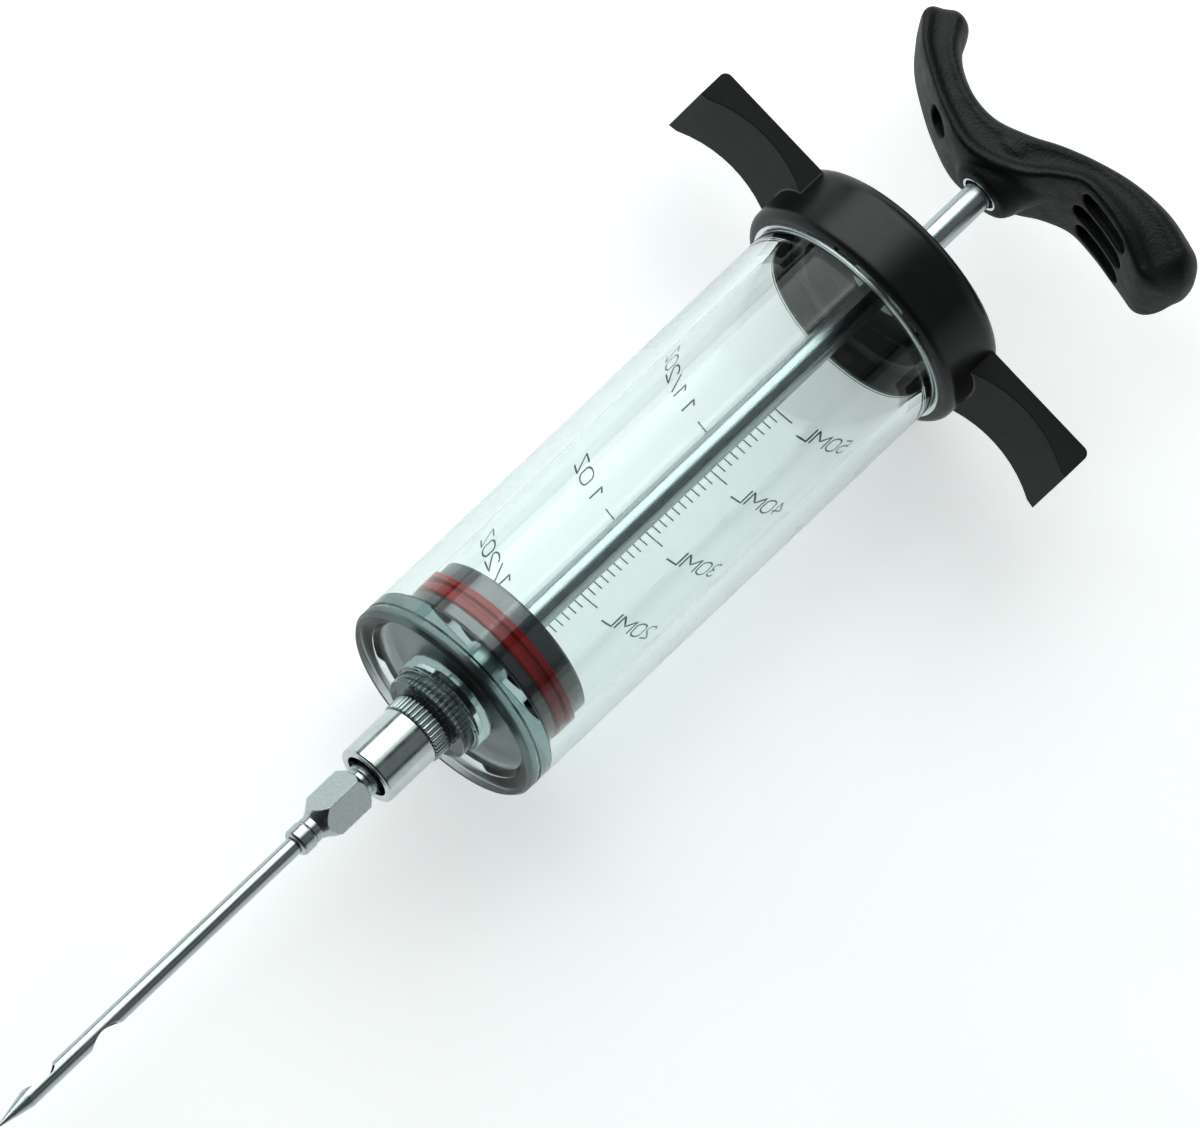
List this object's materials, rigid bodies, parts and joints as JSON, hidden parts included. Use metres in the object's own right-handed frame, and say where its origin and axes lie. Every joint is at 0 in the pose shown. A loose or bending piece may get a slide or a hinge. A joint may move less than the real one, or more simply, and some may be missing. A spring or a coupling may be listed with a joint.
{
  "type": "meat injector",
  "caption": "Marinade injector: clear barrel, side-port needle on a locking hub, sealed piston on a push rod, black collar with finger flanges and palm handle.",
  "frame": {"origin": "on the barrel's axis, halfway along the open stretch of clear barrel between its front rim and the collar", "axes": "+X along the barrel from the needle to the handle, Y along the finger flanges, +Z square to the flanges"},
  "size_m": [0.2319, 0.0784, 0.0412],
  "materials": {
    "needle_steel": "fine drawn satin",
    "hub_metal": "machined satin",
    "chrome": "polished",
    "clear_plastic": "clear polished plastic",
    "seal_red": "satin rubber",
    "plate_black": "semi-gloss",
    "plate_grey": "semi-gloss",
    "rod_steel": "drawn satin",
    "collar_black": "satin moulded",
    "handle_black": "fine grained",
    "white_plastic": "smooth",
    "black_rubber": "matt",
    "ring_steel": "polished"
  },
  "bodies": {
    "barrel": {"barrel": "clear_plastic", "luer_cone": "hub_metal", "knurled_fitting": "hub_metal", "lock_sleeve": "chrome", "fitting_seal": "black_rubber", "collar_ring": "ring_steel"},
    "needle": {"needle_tube": "needle_steel", "needle_ferrule": "hub_metal", "needle_hub": "hub_metal"},
    "collar": {"finger_collar": "collar_black", "rod_guide": "white_plastic", "rod_wiper": "black_rubber"},
    "piston": {"piston_front_plate": "plate_black", "piston_seal": "seal_red", "piston_rear_plate": "plate_grey"},
    "plunger": {"push_rod": "rod_steel", "piston_nut": "chrome", "piston_washer": "chrome", "handle_insert": "ring_steel", "handle": "handle_black"}
  },
  "joints": [
    {"name": "needle_twist", "type": "hinge", "parent": "barrel", "child": "needle", "pos_m": [-0.06, 0, 0], "axis": [1, 0, 0], "range_deg": [0, 90]},
    {"name": "collar_twist", "type": "hinge", "parent": "barrel", "child": "collar", "pos_m": [0.048, 0, 0], "axis": [1, 0, 0], "range_deg": [0, 90]},
    {"name": "piston_slide", "type": "slide", "parent": "barrel", "child": "piston", "axis": [1, 0, 0], "range_m": [0, 0.0735]},
    {"name": "plunger_spin", "type": "hinge", "parent": "piston", "child": "plunger", "pos_m": [-0.03, 0, 0], "axis": [1, 0, 0], "continuous": true}
  ]
}
